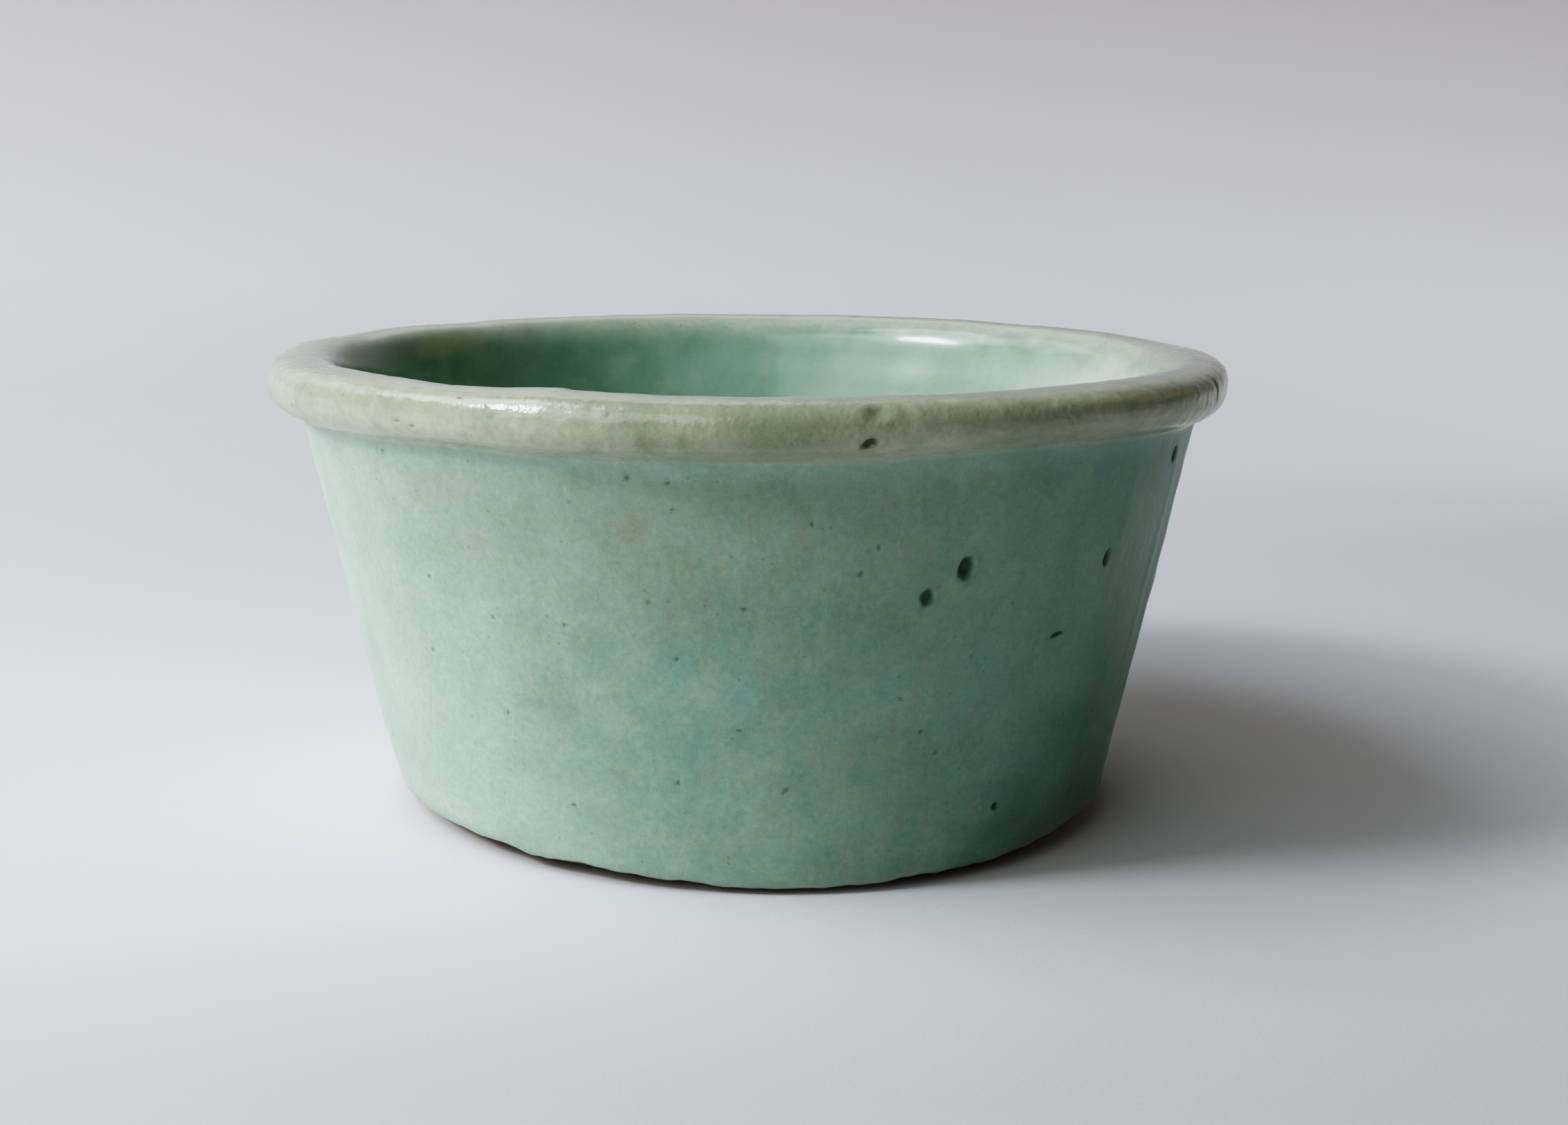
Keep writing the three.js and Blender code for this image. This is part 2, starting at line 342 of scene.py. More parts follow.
def patches(theta, s, table, ragged=0.5, seed=21):
    r, z, _, _ = at(s)
    p = np.stack([r * np.cos(theta), r * np.sin(theta), z], 1)
    warp_a, warp_b = 2.2 * ragged * noise(p, 3.4, seed), 2.2 * ragged * noise(p, 3.1, seed + 1)
    total = np.zeros_like(theta)
    for bearing, s0, half_w, half_h, strength in table:
        a = turn_from(theta, bearing) * np.interp(s0, PATH, PROFILE[:, 0]) + warp_a
        total = np.maximum(total, strength * np.exp(-((a / half_w) ** 2) - ((s - s0 + warp_b) / half_h) ** 2))
    return total


def masks(theta, s):
    """What the glaze's colour follows, from 0 to 1, the same on both sides of every seam between coats."""
    r, z, _, _ = at(s)
    p = np.stack([r * np.cos(theta), r * np.sin(theta), z], 1)
    wander = 0.35 * noise(p, 2.4, 31) + 0.2 * noise(p, 0.9, 32)
    rim = ease(s + 0.5 * wander, S_CREASE - 0.35, S_CREASE + 0.55) * (1 - ease(s + 1.6 * wander, S_LIP - 1.2, S_LIP + 2.2))
    bowl = ease(s + 1.6 * wander, S_LIP - 1.2, S_LIP + 2.2)
    pit = np.zeros_like(theta)
    for i, (bearing, s0, half_w, half_h, _, slant, dark) in enumerate(PITS):
        rho = in_spot(theta, s, (bearing, s0, half_w, half_h, slant))
        near = rho < 3
        q = np.stack([theta[near] * 33, s[near], np.full(near.sum(), 7.0 * i)], 1)
        ragged = rho[near] * (1 + 0.16 * noise(q, 0.55, 83))
        pit[near] = np.maximum(pit[near], dark * (1 - ease(ragged, 0.3, 1.15)) + 0.15 * dark * (1 - ease(ragged, 0.9, 2.2)))
    speck = np.zeros_like(theta)
    for bearing, s0, radius in SPECKS:
        rho = in_spot(theta, s, (bearing, s0, radius, radius, 0))
        near = rho < 2
        speck[near] = np.maximum(speck[near], 1 - ease(rho[near], 0.4, 1.3))
    edge = s - np.interp(edge_height(theta), PROFILE[: len(PATH) // 3, 1], PATH[: len(PATH) // 3])
    run = np.zeros_like(theta)
    for bearing, top, bottom, half, _ in RUNS:
        a = turn_from(theta, bearing) * r
        run = np.maximum(run, bump(a, 1.3 * half) * ease(s, top + 1.5, top - 2) * ease(s, bottom - 1.5, bottom + 4))
    return {
        "rim": rim,
        "bowl": bowl,
        # pit: dark pooled glaze in each pit, partly painted shade in its hollow.
        "pit": np.clip(pit, 0, 1),
        "speck": speck,
        "beige": patches(theta, s, BEIGE) * (s < S_CREASE),
        "blue": patches(theta, s, BLUE, seed=24) * (s < S_CREASE),
        "green": patches(theta, s, GREEN_MARKS, 0.08, seed=27),
        # Glaze pooled just under the roll, made lighter as painted light that lifts the roll's shadow.
        "pool_and_painted_light": ease(s + 0.8 * wander, S_CREASE - 1.7, S_CREASE - 0.6) * (s < S_CREASE + 1),
        "edge": (1 - ease(edge, 0.15, 1.3)) * (s < S_NECK),
        "run": run * (s < S_CREASE),
        # light: paler glaze, with painted light under the front of the roll and a painted sheen at the right edge.
        "light": patches(theta, s, LIGHTER_GLAZE_AND_PAINTED_LIGHT, 0.7, seed=33) * (s < S_CREASE),
        # dark: painted shade low on the front right wall, and darker glaze on the back.
        "dark": patches(theta, s, DARK_GLAZE_AND_PAINTED_SHADE, 0.7, seed=35) * (s < S_CREASE),
        # top: greener glaze on the top of the rim, darkened further as painted shade to tone down its bright
        # reflection.
        "top": ease(s + wander, S_CREST - 2.0, S_CREST - 0.9),
        # far: the inside of the rim at the back right, lightened like the bowl's milky side, partly painted light where
        # the lamps fall on it.
        "far": bump(turn_from(theta, 66), 0.95) * ease(s, S_CREST - 0.2, S_CREST + 1.3) * rim,
        "cream": patches(theta, s, CREAM, 0.6, seed=29),
        # pale: paler glaze on the left edge, partly painted light on the side that faces the lamps.
        "pale": bump(turn_from(theta, -172), 0.72) * ease(s, 0, 5) * (s < S_CREASE),
        # deep: painted shade down the right side, which is turned from the lamps, strongest low down.
        "deep": bump(turn_from(theta, -18), 0.85) * (0.75 + 0.25 * ease(s, 20, 8)) * (s < S_CREASE),
        # mint: milky glaze on the bowl's right side, partly painted light where the lamps fall on that side.
        "milky_and_painted_light": (0.35 + (bump(turn_from(theta, 2), 1.0) - 0.35) * ease(r, 1, 22)) * bowl,
    }


# ---------------------------------------------------------------- meshes


def spread(values, row):
    """A row's value, for real-valued rows, from the values at whole rows."""
    return np.interp(row, np.arange(len(values)), values)


def in_strips(columns, heights):
    """Lays a tube out in three strips of a third of its turn each; heights are of the rows, from 0 to 1."""

    def layout(column, row, first_column, first_row):
        third = columns / 3
        strip = np.clip(np.floor(first_column / third + 1e-4), 0, 2)
        u = 0.008 + 0.984 * (column - strip * third) / third
        return u, (strip + 0.02 + 0.96 * spread(heights, row)) / 3

    return layout


def in_discs(columns, split, seen, hidden):
    """Lays a closed shell out in two discs, a large one for what is seen and a small one in a corner for the rest.
    seen and hidden give the rows' distances from the disc's middle, and the two meet at the row split."""

    def layout(column, row, first_column, first_row):
        angle = column / columns * TURN
        large = (first_row >= split - 1e-4) == (seen[-1] < seen[split])
        reach = np.where(large, 0.49 * spread(seen, row) / seen[split], 0.07 * spread(hidden, row) / hidden[split])
        middle = np.where(large, 0.5, 0.085)
        return middle + reach * np.cos(angle), middle + reach * np.sin(angle)

    return layout


def lay_out(mesh, grid, columns, rows, layout):
    """Writes a flat layout of the mesh, from the grid place of each of its points."""
    corner, start = np.zeros(len(mesh.loops), np.int32), np.zeros(len(mesh.polygons), np.int32)
    mesh.loops.foreach_get("vertex_index", corner)
    mesh.polygons.foreach_get("loop_start", start)
    face = np.repeat(np.arange(len(start)), np.diff(np.append(start, len(corner))))

    def unrolled(values, size):
        span = np.maximum.reduceat(values, start) - np.minimum.reduceat(values, start)
        values = np.where((span[face] > size / 2) & (values < size / 2), values + size, values)
        return values, np.minimum.reduceat(values, start)[face]

    column, first_column = unrolled(grid[corner, 0], columns)
    row, first_row = unrolled(grid[corner, 1], rows)
    uv = np.stack(layout(column, row, first_column, first_row), 1)
    mesh.uv_layers.new(name="OFBake").data.foreach_set("uv", uv.astype(np.float32).ravel())


def loop_mesh(name, columns, rows, shape, poles, layout, spots=()):
    """A closed mesh that goes round the axis. rows is how many rings there are, and shape(theta, row) gives, for
    real-valued rows, the points in mm and a dict of attributes. Without poles the rings close into a tube; with
    them the first and last rows each shrink to a point. spots are (theta, row, reach in columns, reach in rows,
    times) round which the mesh is split finer."""
    bm = bmesh.new()
    first = 1 if poles else 0
    last = rows - 1 if poles else rows
    ring = [[bm.verts.new((i, j, 0)) for j in range(first, last)] for i in range(columns)]
    tall = last - first
    for i in range(columns):
        a, b = ring[i], ring[(i + 1) % columns]
        for j in range(tall - 1 if poles else tall):
            k = (j + 1) % tall
            bm.faces.new((a[j], b[j], b[k], a[k]))
    if poles:
        start, end = bm.verts.new((0, 0, 0)), bm.verts.new((0, rows - 1, 0))
        for i in range(columns):
            a, b = ring[i], ring[(i + 1) % columns]
            bm.faces.new((start, b[0], a[0]))
            bm.faces.new((a[-1], b[-1], end))
    for level in range(max([s[4] for s in spots], default=0)):
        co = np.array([v.co for v in bm.verts])
        inside = np.zeros(len(co), bool)
        for theta, row, reach_c, reach_r, times in spots:
            if level < times:
                c = (theta - BACK) % TURN / TURN * columns
                inside |= ((co[:, 0] - c) / reach_c) ** 2 + ((co[:, 1] - row) / reach_r) ** 2 < 1
        bm.verts.index_update()
        chosen = [e for e in bm.edges if inside[e.verts[0].index] and inside[e.verts[1].index]]
        bmesh.ops.subdivide_edges(bm, edges=chosen, cuts=1, use_grid_fill=True)
    bmesh.ops.triangulate(bm, faces=[f for f in bm.faces if len(f.verts) > 4])
    mesh = bpy.data.meshes.new(name)
    bm.to_mesh(mesh)
    bm.free()
    n = len(mesh.vertices)
    grid = np.zeros(n * 3, np.float32)
    mesh.vertices.foreach_get("co", grid)
    grid = grid.reshape(-1, 3).astype(float)
    theta, row = BACK + grid[:, 0] / columns * TURN, grid[:, 1]
    points, attributes = shape(theta, row)
    mesh.vertices.foreach_set("co", (points * MM).astype(np.float32).ravel())
    for key, values in attributes.items():
        layer = mesh.attributes.new(key, "FLOAT", "POINT")
        layer.data.foreach_set("value", np.clip(values, 0, 1).astype(np.float32))
    mesh.polygons.foreach_set("use_smooth", np.ones(len(mesh.polygons), bool))
    mesh.update()
    lay_out(mesh, grid, columns, rows, layout)
    obj = bpy.data.objects.new(name, mesh)
    bpy.context.scene.collection.objects.link(obj)
    return obj, theta, row


def set_normals(obj, chosen, normals):
    """Gives the chosen points the normals of the smooth surface they lie on, so that no seam shows."""
    mesh = obj.data
    own = np.zeros(len(mesh.vertices) * 3, np.float32)
    mesh.vertex_normals.foreach_get("vector", own)
    own = own.reshape(-1, 3)
    own[chosen] = normals[chosen]
    mesh.normals_split_custom_set_from_vertices([tuple(v) for v in own.tolist()])


def surface_normal(theta, s):
    """Outward normals of the finished surface."""
    h, k = 0.002, 0.06
    a = surface(theta + h, s, 0) - surface(theta - h, s, 0)
    b = surface(theta, np.minimum(s + k, S_END), 0) - surface(theta, s - k, 0)
    n = np.cross(a, b)
    return (n / np.maximum(np.linalg.norm(n, axis=1), 1e-9)[:, None]).astype(np.float32)


# ---- outer glaze

OUTER_ROWS = np.linspace(0, 1, 108)
OUTER_BACK = np.linspace(1, 0, 12)
OUTER_TURN = np.linspace(0, math.pi, 9)[1:-1]


def outer_shape(theta, row):
    n_out, n_in = len(OUTER_ROWS), len(OUTER_BACK)
    share = np.concatenate([OUTER_ROWS, OUTER_BACK, np.zeros(len(OUTER_TURN)), [0]])
    under = np.concatenate([np.zeros(n_out), np.ones(n_in), 0.5 + 0.5 * np.cos(OUTER_TURN), [0]])
    drop = np.concatenate([np.zeros(n_out + n_in), np.sin(OUTER_TURN), [0]])
    base = np.interp(edge_height(theta), PROFILE[: len(PATH) // 3, 1], PATH[: len(PATH) // 3]) + 0.35
    s = base + spread(share, row) * (S_CREASE - base) - 0.35 * spread(drop, row)
    return surface(theta, s, coat(s) * spread(under, row)), masks(theta, s)


def spots_between(low, high, mm_per_row, bottom_of, columns):
    """Where pits and specks need a finer mesh, for a strip of rows from bottom_of(theta) upwards."""
    found = []
    for bearing, s0, half_w, half_h, _, _, dark in PITS:
        if low < s0 < high:
            found.append((bearing, s0, 1.7 * max(half_w, 0.45), 1.7 * max(half_h, 0.45), 2 if dark > 0.3 else 1))
    for bearing, s0, radius in SPECKS:
        if low < s0 < high:
            found.append((bearing, s0, 2.4 * radius, 2.4 * radius, 1))
    made = []
    for bearing, s0, wide, high_mm, times in found:
        theta = math.radians(bearing)
        bottom = bottom_of(theta)
        radius = np.interp(s0, PATH, PROFILE[:, 0])
        step = mm_per_row(theta)
        made.append((theta, (s0 - bottom) / step, wide / (TURN * radius / columns), high_mm / step, times))
    return made


def outer_bottom(theta):
    z = edge_height(np.array([theta]))[0]
    return float(np.interp(z, PROFILE[: len(PATH) // 3, 1], PATH[: len(PATH) // 3])) + 0.35


OUTER_COLUMNS = 648
outer_glaze, theta, row = loop_mesh(
    "mottled_wall_glaze",
    OUTER_COLUMNS,
    len(OUTER_ROWS) + len(OUTER_BACK) + len(OUTER_TURN),
    outer_shape,
    False,
    in_strips(OUTER_COLUMNS, np.concatenate([np.linspace(0, 0.86, len(OUTER_ROWS)), np.linspace(0.868, 1, len(OUTER_BACK) + len(OUTER_TURN) + 1)])),
    spots_between(2, S_CREASE - 0.6, lambda t: (S_CREASE - outer_bottom(t)) / (len(OUTER_ROWS) - 1), outer_bottom, OUTER_COLUMNS),
)
normals = surface_normal(theta, np.full_like(theta, S_CREASE))
set_normals(outer_glaze, np.abs(row - (len(OUTER_ROWS) - 1)) < 1e-3, normals)

# ---- rim glaze

RIM_OUT, RIM_IN = np.linspace(0, 1, 44), np.linspace(1, 0, 12)


def rim_shape(theta, row):
    share = np.concatenate([RIM_OUT, RIM_IN, [0]])
    under = np.concatenate([np.zeros(len(RIM_OUT)), np.ones(len(RIM_IN)), [0]])
    s = S_CREASE + spread(share, row) * (S_LIP - S_CREASE)
    return surface(theta, s, coat(s) * spread(under, row)), masks(theta, s)


RIM_COLUMNS = 720
rim_glaze, theta, row = loop_mesh(
    "rolled_rim_glaze",
    RIM_COLUMNS,
    len(RIM_OUT) + len(RIM_IN),
    rim_shape,
    False,
    in_strips(RIM_COLUMNS, np.concatenate([np.linspace(0, 0.84, len(RIM_OUT)), np.linspace(0.853, 1, len(RIM_IN) + 1)])),
    spots_between(S_CREASE + 0.5, S_LIP - 0.5, lambda t: (S_LIP - S_CREASE) / (len(RIM_OUT) - 1), lambda t: S_CREASE, RIM_COLUMNS),
)
ends = (np.abs(row) < 1e-3) | (np.abs(row - (len(RIM_OUT) - 1)) < 1e-3)
normals = surface_normal(theta, np.where(row < 1, S_CREASE, S_LIP))
set_normals(rim_glaze, ends, normals)

# ---- bowl glaze

BOWL_OUT = np.linspace(0, 1, 118)
BOWL_IN = np.linspace(1, 0, 40)


def bowl_shape(theta, row):
    share = np.concatenate([BOWL_IN, BOWL_OUT])
    under = np.concatenate([np.ones(len(BOWL_IN)), np.zeros(len(BOWL_OUT))])
    s = S_LIP + spread(share, row) * (S_END - S_LIP)
    return surface(theta, s, coat(s) * spread(under, row)), masks(theta, s)


BOWL_COLUMNS, BOWL_TALL = 480, len(BOWL_IN) + len(BOWL_OUT)
inner_glaze, theta, row = loop_mesh(
    "bowl_glaze",
    BOWL_COLUMNS,
    BOWL_TALL,
    bowl_shape,
    True,
    in_discs(BOWL_COLUMNS, len(BOWL_IN), np.arange(BOWL_TALL)[::-1], np.arange(BOWL_TALL)),
)
normals = surface_normal(theta, np.full_like(theta, S_LIP))
set_normals(inner_glaze, np.abs(row - len(BOWL_IN)) < 1e-3, normals)

# ---- clay body

# Out along the underside to the edge of the foot. A bevel goes on from there to the edge of the glaze.
FOOT = [
    (0.0, 0.7), (6.0, 0.7), (12.0, 0.7), (16.4, 0.7), (17.2, 0.55), (17.9, 0.2), (18.6, 0.02), (20.0, 0.0), (23.0, 0.0),
    (24.6, 0.0), (25.05, 0.03), (25.35, 0.14),
]  # fmt: skip
FOOT_PATH, FOOT_PROFILE = spline(FOOT)
FOOT_ROWS = np.concatenate([np.linspace(0, 15.5, 40)[:-1], np.linspace(15.5, 19.5, 16)[:-1], np.linspace(19.5, 24, 16)[:-1], np.linspace(24, FOOT_PATH[-1], 10)])
BEVEL_ROWS = np.linspace(0, 1, 13)[1:]
S_CLAY = wall_s(1.0)
CLAY_ROWS = np.concatenate([np.linspace(S_CLAY, 5.0, 14)[1:-1], np.linspace(5.0, S_NECK, 18)[:-1], np.linspace(S_NECK, S_LIP + 1, 30)[:-1], np.linspace(S_LIP + 1, S_END, 40)])


def clay_shape(theta, row):
    n_foot, n_low = len(FOOT_ROWS), len(FOOT_ROWS) + len(BEVEL_ROWS)
    f = spread(FOOT_ROWS, np.minimum(row, n_foot - 1))
    r, z = np.interp(f, FOOT_PATH, FOOT_PROFILE[:, 0]), np.interp(f, FOOT_PATH, FOOT_PROFILE[:, 1])
    p = np.stack([r * np.cos(theta), r * np.sin(theta), z], 1)
    # The underside: a spiral left by turning, drag marks from wiping, and grit, up from the plane it stands on.
    recess = ease(r, 17.4, 15.5)
    spiral = 0.5 + 0.5 * np.sin(TURN * (r / 1.35 + theta / TURN))
    z = z + recess * ease(r, 0.5, 2.5) * 0.10 * spiral * (0.6 + 0.6 * noise(p, 7, 51))
    z = z + recess * 0.10 * noise(p * (1, 1, 0), 9, 52)
    ring = ease(r, 17.6, 19.5) * ease(r, 25.3, 24.2)
    grit = np.abs(noise(p, 0.9, 53)) * 0.05 + np.maximum(0, noise(p, 2.2, 54) - 0.25) * 0.16
    z = z + ring * grit
    # The bevel rises to the clay just inside the edge of the glaze.
    climb = spread(np.concatenate([np.zeros(n_foot), BEVEL_ROWS]), np.minimum(row, n_low - 1))
    top = edge_height(theta) + 0.15
    edge_s = np.interp(top, PROFILE[: len(PATH) // 3, 1], PATH[: len(PATH) // 3])
    edge_r, edge_z, edge_nr, edge_nz = at(edge_s)
    r = r + (edge_r - edge_nr * (OUTER_GLAZE + CLAY_GAP) - FOOT[-1][0]) * climb
    z = z + (edge_z - edge_nz * (OUTER_GLAZE + CLAY_GAP) - FOOT[-1][1]) * climb**1.15
    q = np.stack([r * np.cos(theta), r * np.sin(theta), z], 1)
    rough = 0.04 * np.abs(noise(q, 0.8, 55)) + 0.04 * noise(q, 2.8, 56)
    r = r - ease(r, 24.8, 25.6) * rough * (1 - ease(climb, 0.8, 1))
    foot = place(theta, r, np.maximum(z, 0))
    plain_s = spread(CLAY_ROWS, np.maximum(row - n_low, 0))
    s = plain_s + (edge_s - S_CLAY) * (1 - ease(plain_s, S_CLAY, 9))
    clay = surface(theta, s, coat(s) + CLAY_GAP)
    upper = row >= n_low - 0.5
    # The bevel darkens towards the glaze edge: partly darker clay, partly painted shade in the recess under the glaze.
    return np.where(upper[:, None], clay, foot), {"darker_clay_and_painted_shade": np.where(upper, 1, ease(climb, 0.3, 1)), "worn": np.where(upper, 0, ring)}


CLAY_COLUMNS, CLAY_SPLIT = 480, len(FOOT_ROWS) + len(BEVEL_ROWS) + 3
CLAY_TALL = len(FOOT_ROWS) + len(BEVEL_ROWS) + len(CLAY_ROWS)
cup_body, theta, row = loop_mesh(
    "fired_clay_body",
    CLAY_COLUMNS,
    CLAY_TALL,
    clay_shape,
    True,
    in_discs(CLAY_COLUMNS, CLAY_SPLIT, np.concatenate([FOOT_ROWS, FOOT_ROWS[-1] + 2.6 * BEVEL_ROWS, FOOT_ROWS[-1] + 2.6 + CLAY_ROWS - S_CLAY]), np.arange(CLAY_TALL)[::-1]),
)


# ---------------------------------------------------------------- materials


class Nodes:
    """Short hand for building a shader."""

    def __init__(self, name):
        self.material = bpy.data.materials.new(name)
        self.material.use_nodes = True
        self.tree = self.material.node_tree
        self.tree.nodes.clear()
        self.out = self.add("ShaderNodeOutputMaterial")
        self.shader = self.add("ShaderNodeBsdfPrincipled")
        self.link(self.shader.outputs[0], self.out.inputs["Surface"])
        self.place = self.scaled(1000)

    def add(self, kind, **settings):
        node = self.tree.nodes.new(kind)
        for key, value in settings.items():
            setattr(node, key, value)
        return node

    def link(self, a, b):
        self.tree.links.new(a, b)

    def put(self, socket, value):
        if isinstance(value, bpy.types.NodeSocket):
            self.link(value, socket)
        else:
            socket.default_value = value

    def scaled(self, scale):
        """Object coordinates, in millimetres at scale 1000."""
        node = self.add("ShaderNodeMapping")
        self.link(self.add("ShaderNodeTexCoord").outputs["Object"], node.inputs["Vector"])
        node.inputs["Scale"].default_value = scale if isinstance(scale, tuple) else (scale,) * 3
        return node.outputs[0]

    def shifted(self, far):
        """The same coordinates, carried away so that a second noise doesn't repeat the first."""
        node = self.add("ShaderNodeVectorMath", operation="ADD")
        self.link(self.place, node.inputs[0])
        node.inputs[1].default_value = (far, far / 3, -far)
        return node.outputs[0]

    def attribute(self, name):
        return self.add("ShaderNodeAttribute", attribute_name=name).outputs["Fac"]

    def noise(self, size, detail=4.0, rough=0.55, distort=0.0, vector=None):
        node = self.add("ShaderNodeTexNoise")
        self.link(vector or self.place, node.inputs["Vector"])
        for key, value in (("Scale", 1 / size), ("Detail", detail), ("Roughness", rough), ("Distortion", distort)):
            node.inputs[key].default_value = value
        return node.outputs[0]

    def cells(self, size, feature="F1", randomness=1.0):
        node = self.add("ShaderNodeTexVoronoi", feature=feature)
        self.link(self.place, node.inputs["Vector"])
        node.inputs["Scale"].default_value = 1 / size
        node.inputs["Randomness"].default_value = randomness
        return node

    def remap(self, value, a, b, c=0.0, d=1.0, smooth=False):
        node = self.add("ShaderNodeMapRange", interpolation_type="SMOOTHSTEP" if smooth else "LINEAR")
        for k, v in enumerate((value, a, b, c, d)):
            self.put(node.inputs[k], v)
        return node.outputs[0]

    def math(self, kind, a, b=0.0, clamp=False):
        node = self.add("ShaderNodeMath", operation=kind, use_clamp=clamp)
        self.put(node.inputs[0], a)
        self.put(node.inputs[1], b)
        return node.outputs[0]

    def mix(self, fac, a, b, kind="MIX"):
        node = self.add("ShaderNodeMix", data_type="RGBA", blend_type=kind)
        for socket, value in ((node.inputs[0], fac), (node.inputs[6], a), (node.inputs[7], b)):
            self.put(socket, (*value, 1) if isinstance(value, tuple) and len(value) == 3 else value)
        return node.outputs[2]

    def bump(self, height, distance, strength=1.0, normal=None):
        node = self.add("ShaderNodeBump")
        self.put(node.inputs["Strength"], strength)
        node.inputs["Distance"].default_value = distance * MM
        self.link(height, node.inputs["Height"])
        if normal is not None:
            self.link(normal, node.inputs["Normal"])
        return node.outputs[0]


def glaze(name, rough_low, rough_high, grain, wave):
    """Glaze of a given roughness, grain of colour, and depth in mm of the small waves in its surface."""
    n = Nodes(name)
    rim, bowl, pit, speck = (n.attribute(k) for k in ("rim", "bowl", "pit", "speck"))
    cloud = n.noise(7.5, 3, 0.5, 0.4)
    mottle = n.noise(3.2, 2.5, 0.5, 0.2)
    hue = n.noise(2.5, 2.5, 0.5, 0.3, n.shifted(310))
    blotch = n.noise(1.2, 1.5, 0.5, 0.0, n.shifted(90))
    fine = n.noise(0.5, 3, 0.6)
    dust = n.noise(0.17, 2, 0.6)
    streak = n.noise(1.5, 4, 0.6, 0.2, n.scaled((1000, 1000, 260)))
    height = n.add("ShaderNodeSeparateXYZ")
    n.link(n.place, height.inputs[0])
    upper = n.remap(height.outputs[2], 13, 29)
    # The wall: celadon green, milky where the glaze is thick with bubbles, deeper where it has run thin, with painted
    # light and shade in places.
    wall = n.mix(n.remap(cloud, 0.34, 0.66), (0.240, 0.352, 0.260), (0.308, 0.420, 0.315))
    wall = n.mix(n.math("MULTIPLY", n.remap(mottle, 0.50, 0.72), 0.42), wall, (0.385, 0.482, 0.375))
    wall = n.mix(n.math("MULTIPLY", n.remap(mottle, 0.48, 0.28), 0.36), wall, (0.178, 0.292, 0.208))
    wall = n.mix(n.math("MULTIPLY", n.remap(hue, 0.52, 0.72), 0.42), wall, (0.330, 0.360, 0.265))
    wall = n.mix(n.math("MULTIPLY", n.remap(hue, 0.48, 0.28), 0.36), wall, (0.225, 0.385, 0.305))
    wall = n.mix(n.math("MULTIPLY", upper, n.remap(cloud, 0.3, 0.7, 0.45, 0.2)), wall, (0.312, 0.358, 0.252))
    wall = n.mix(n.math("MULTIPLY", n.remap(blotch, 0.50, 0.70), 0.24), wall, (0.345, 0.410, 0.275))
    wall = n.mix(n.math("MULTIPLY", n.remap(blotch, 0.50, 0.30), 0.22), wall, (0.215, 0.400, 0.325))
    # Paler glaze, and painted light under the front of the roll and a painted sheen at the right edge.
    wall = n.mix(n.math("MULTIPLY", n.attribute("light"), 0.55), wall, (0.420, 0.535, 0.425))
    wall = n.mix(n.math("MULTIPLY", n.attribute("run"), n.remap(streak, 0.4, 0.65, 0.1, 0.6)), wall, (0.185, 0.305, 0.230))
    wall = n.mix(n.math("MULTIPLY", n.attribute("beige"), n.remap(hue, 0.34, 0.6, 0.4, 0.9)), wall, (0.266, 0.296, 0.208))
    wall = n.mix(n.math("MULTIPLY", n.attribute("blue"), n.remap(hue, 0.66, 0.38, 0.25, 0.7)), wall, (0.215, 0.380, 0.348))
    # Pooled glaze under the roll, lightened as painted light against the roll's shadow.
    wall = n.mix(n.math("MULTIPLY", n.attribute("pool_and_painted_light"), n.remap(streak, 0.3, 0.6, 0.3, 0.7)), wall, (0.350, 0.505, 0.425))
    # Painted shade: a dark green down the right side, which is turned from the lamps.
    wall = n.mix(n.math("MULTIPLY", n.attribute("deep"), n.remap(cloud, 0.3, 0.7, 0.68, 0.45)), wall, (0.080, 0.225, 0.150))
    # Paler glaze on the left edge, partly painted light on the side that faces the lamps.
    wall = n.mix(n.math("MULTIPLY", n.attribute("pale"), n.remap(cloud, 0.3, 0.6, 0.5, 0.85)), wall, (0.640, 0.760, 0.610))
    wall = n.mix(n.math("MULTIPLY", n.attribute("edge"), 0.4), wall, (0.36, 0.41, 0.31))
    # Painted shade low on the front right wall, and darker glaze on the back.
    wall = n.mix(n.math("MULTIPLY", n.attribute("dark"), n.remap(cloud, 0.3, 0.7, 0.75, 0.6)), wall, (0.075, 0.150, 0.105))
    # The rim: the glaze runs off it and leaves a thin cream to olive skin.
    over = n.mix(n.remap(cloud, 0.36, 0.64), (0.335, 0.362, 0.250), (0.410, 0.432, 0.310))
    over = n.mix(n.math("MULTIPLY", n.remap(mottle, 0.52, 0.7), 0.45), over, (0.485, 0.500, 0.380))
    over = n.mix(n.math("MULTIPLY", n.attribute("cream"), n.remap(hue, 0.3, 0.6, 0.45, 0.85)), over, (0.590, 0.585, 0.425))
    over = n.mix(n.math("MULTIPLY", n.remap(hue, 0.54, 0.72), 0.4), over, (0.350, 0.340, 0.240))
    over = n.mix(n.math("MULTIPLY", n.remap(hue, 0.46, 0.28), 0.4), over, (0.300, 0.352, 0.262))
    over = n.mix(n.math("MULTIPLY", n.attribute("green"), n.remap(fine, 0.3, 0.6, 0.5, 1.0)), over, (0.200, 0.250, 0.150))
    # Greener glaze on the rim's top, darkened further as painted shade to tone down its bright reflection.
    over = n.mix(n.math("MULTIPLY", n.attribute("top"), 0.7), over, (0.285, 0.340, 0.262))
    # Inside of the rim at the back right: milky glaze, partly painted light where the lamps fall on it.
    over = n.mix(n.math("MULTIPLY", n.attribute("far"), 0.8), over, (0.520, 0.570, 0.450))
    # The bowl: smoother, greener and clearer, and milky on one side, which is also lightened as painted light where the
    # lamps fall on it.
    inside = n.mix(n.remap(cloud, 0.32, 0.68), (0.196, 0.326, 0.236), (0.264, 0.394, 0.298))
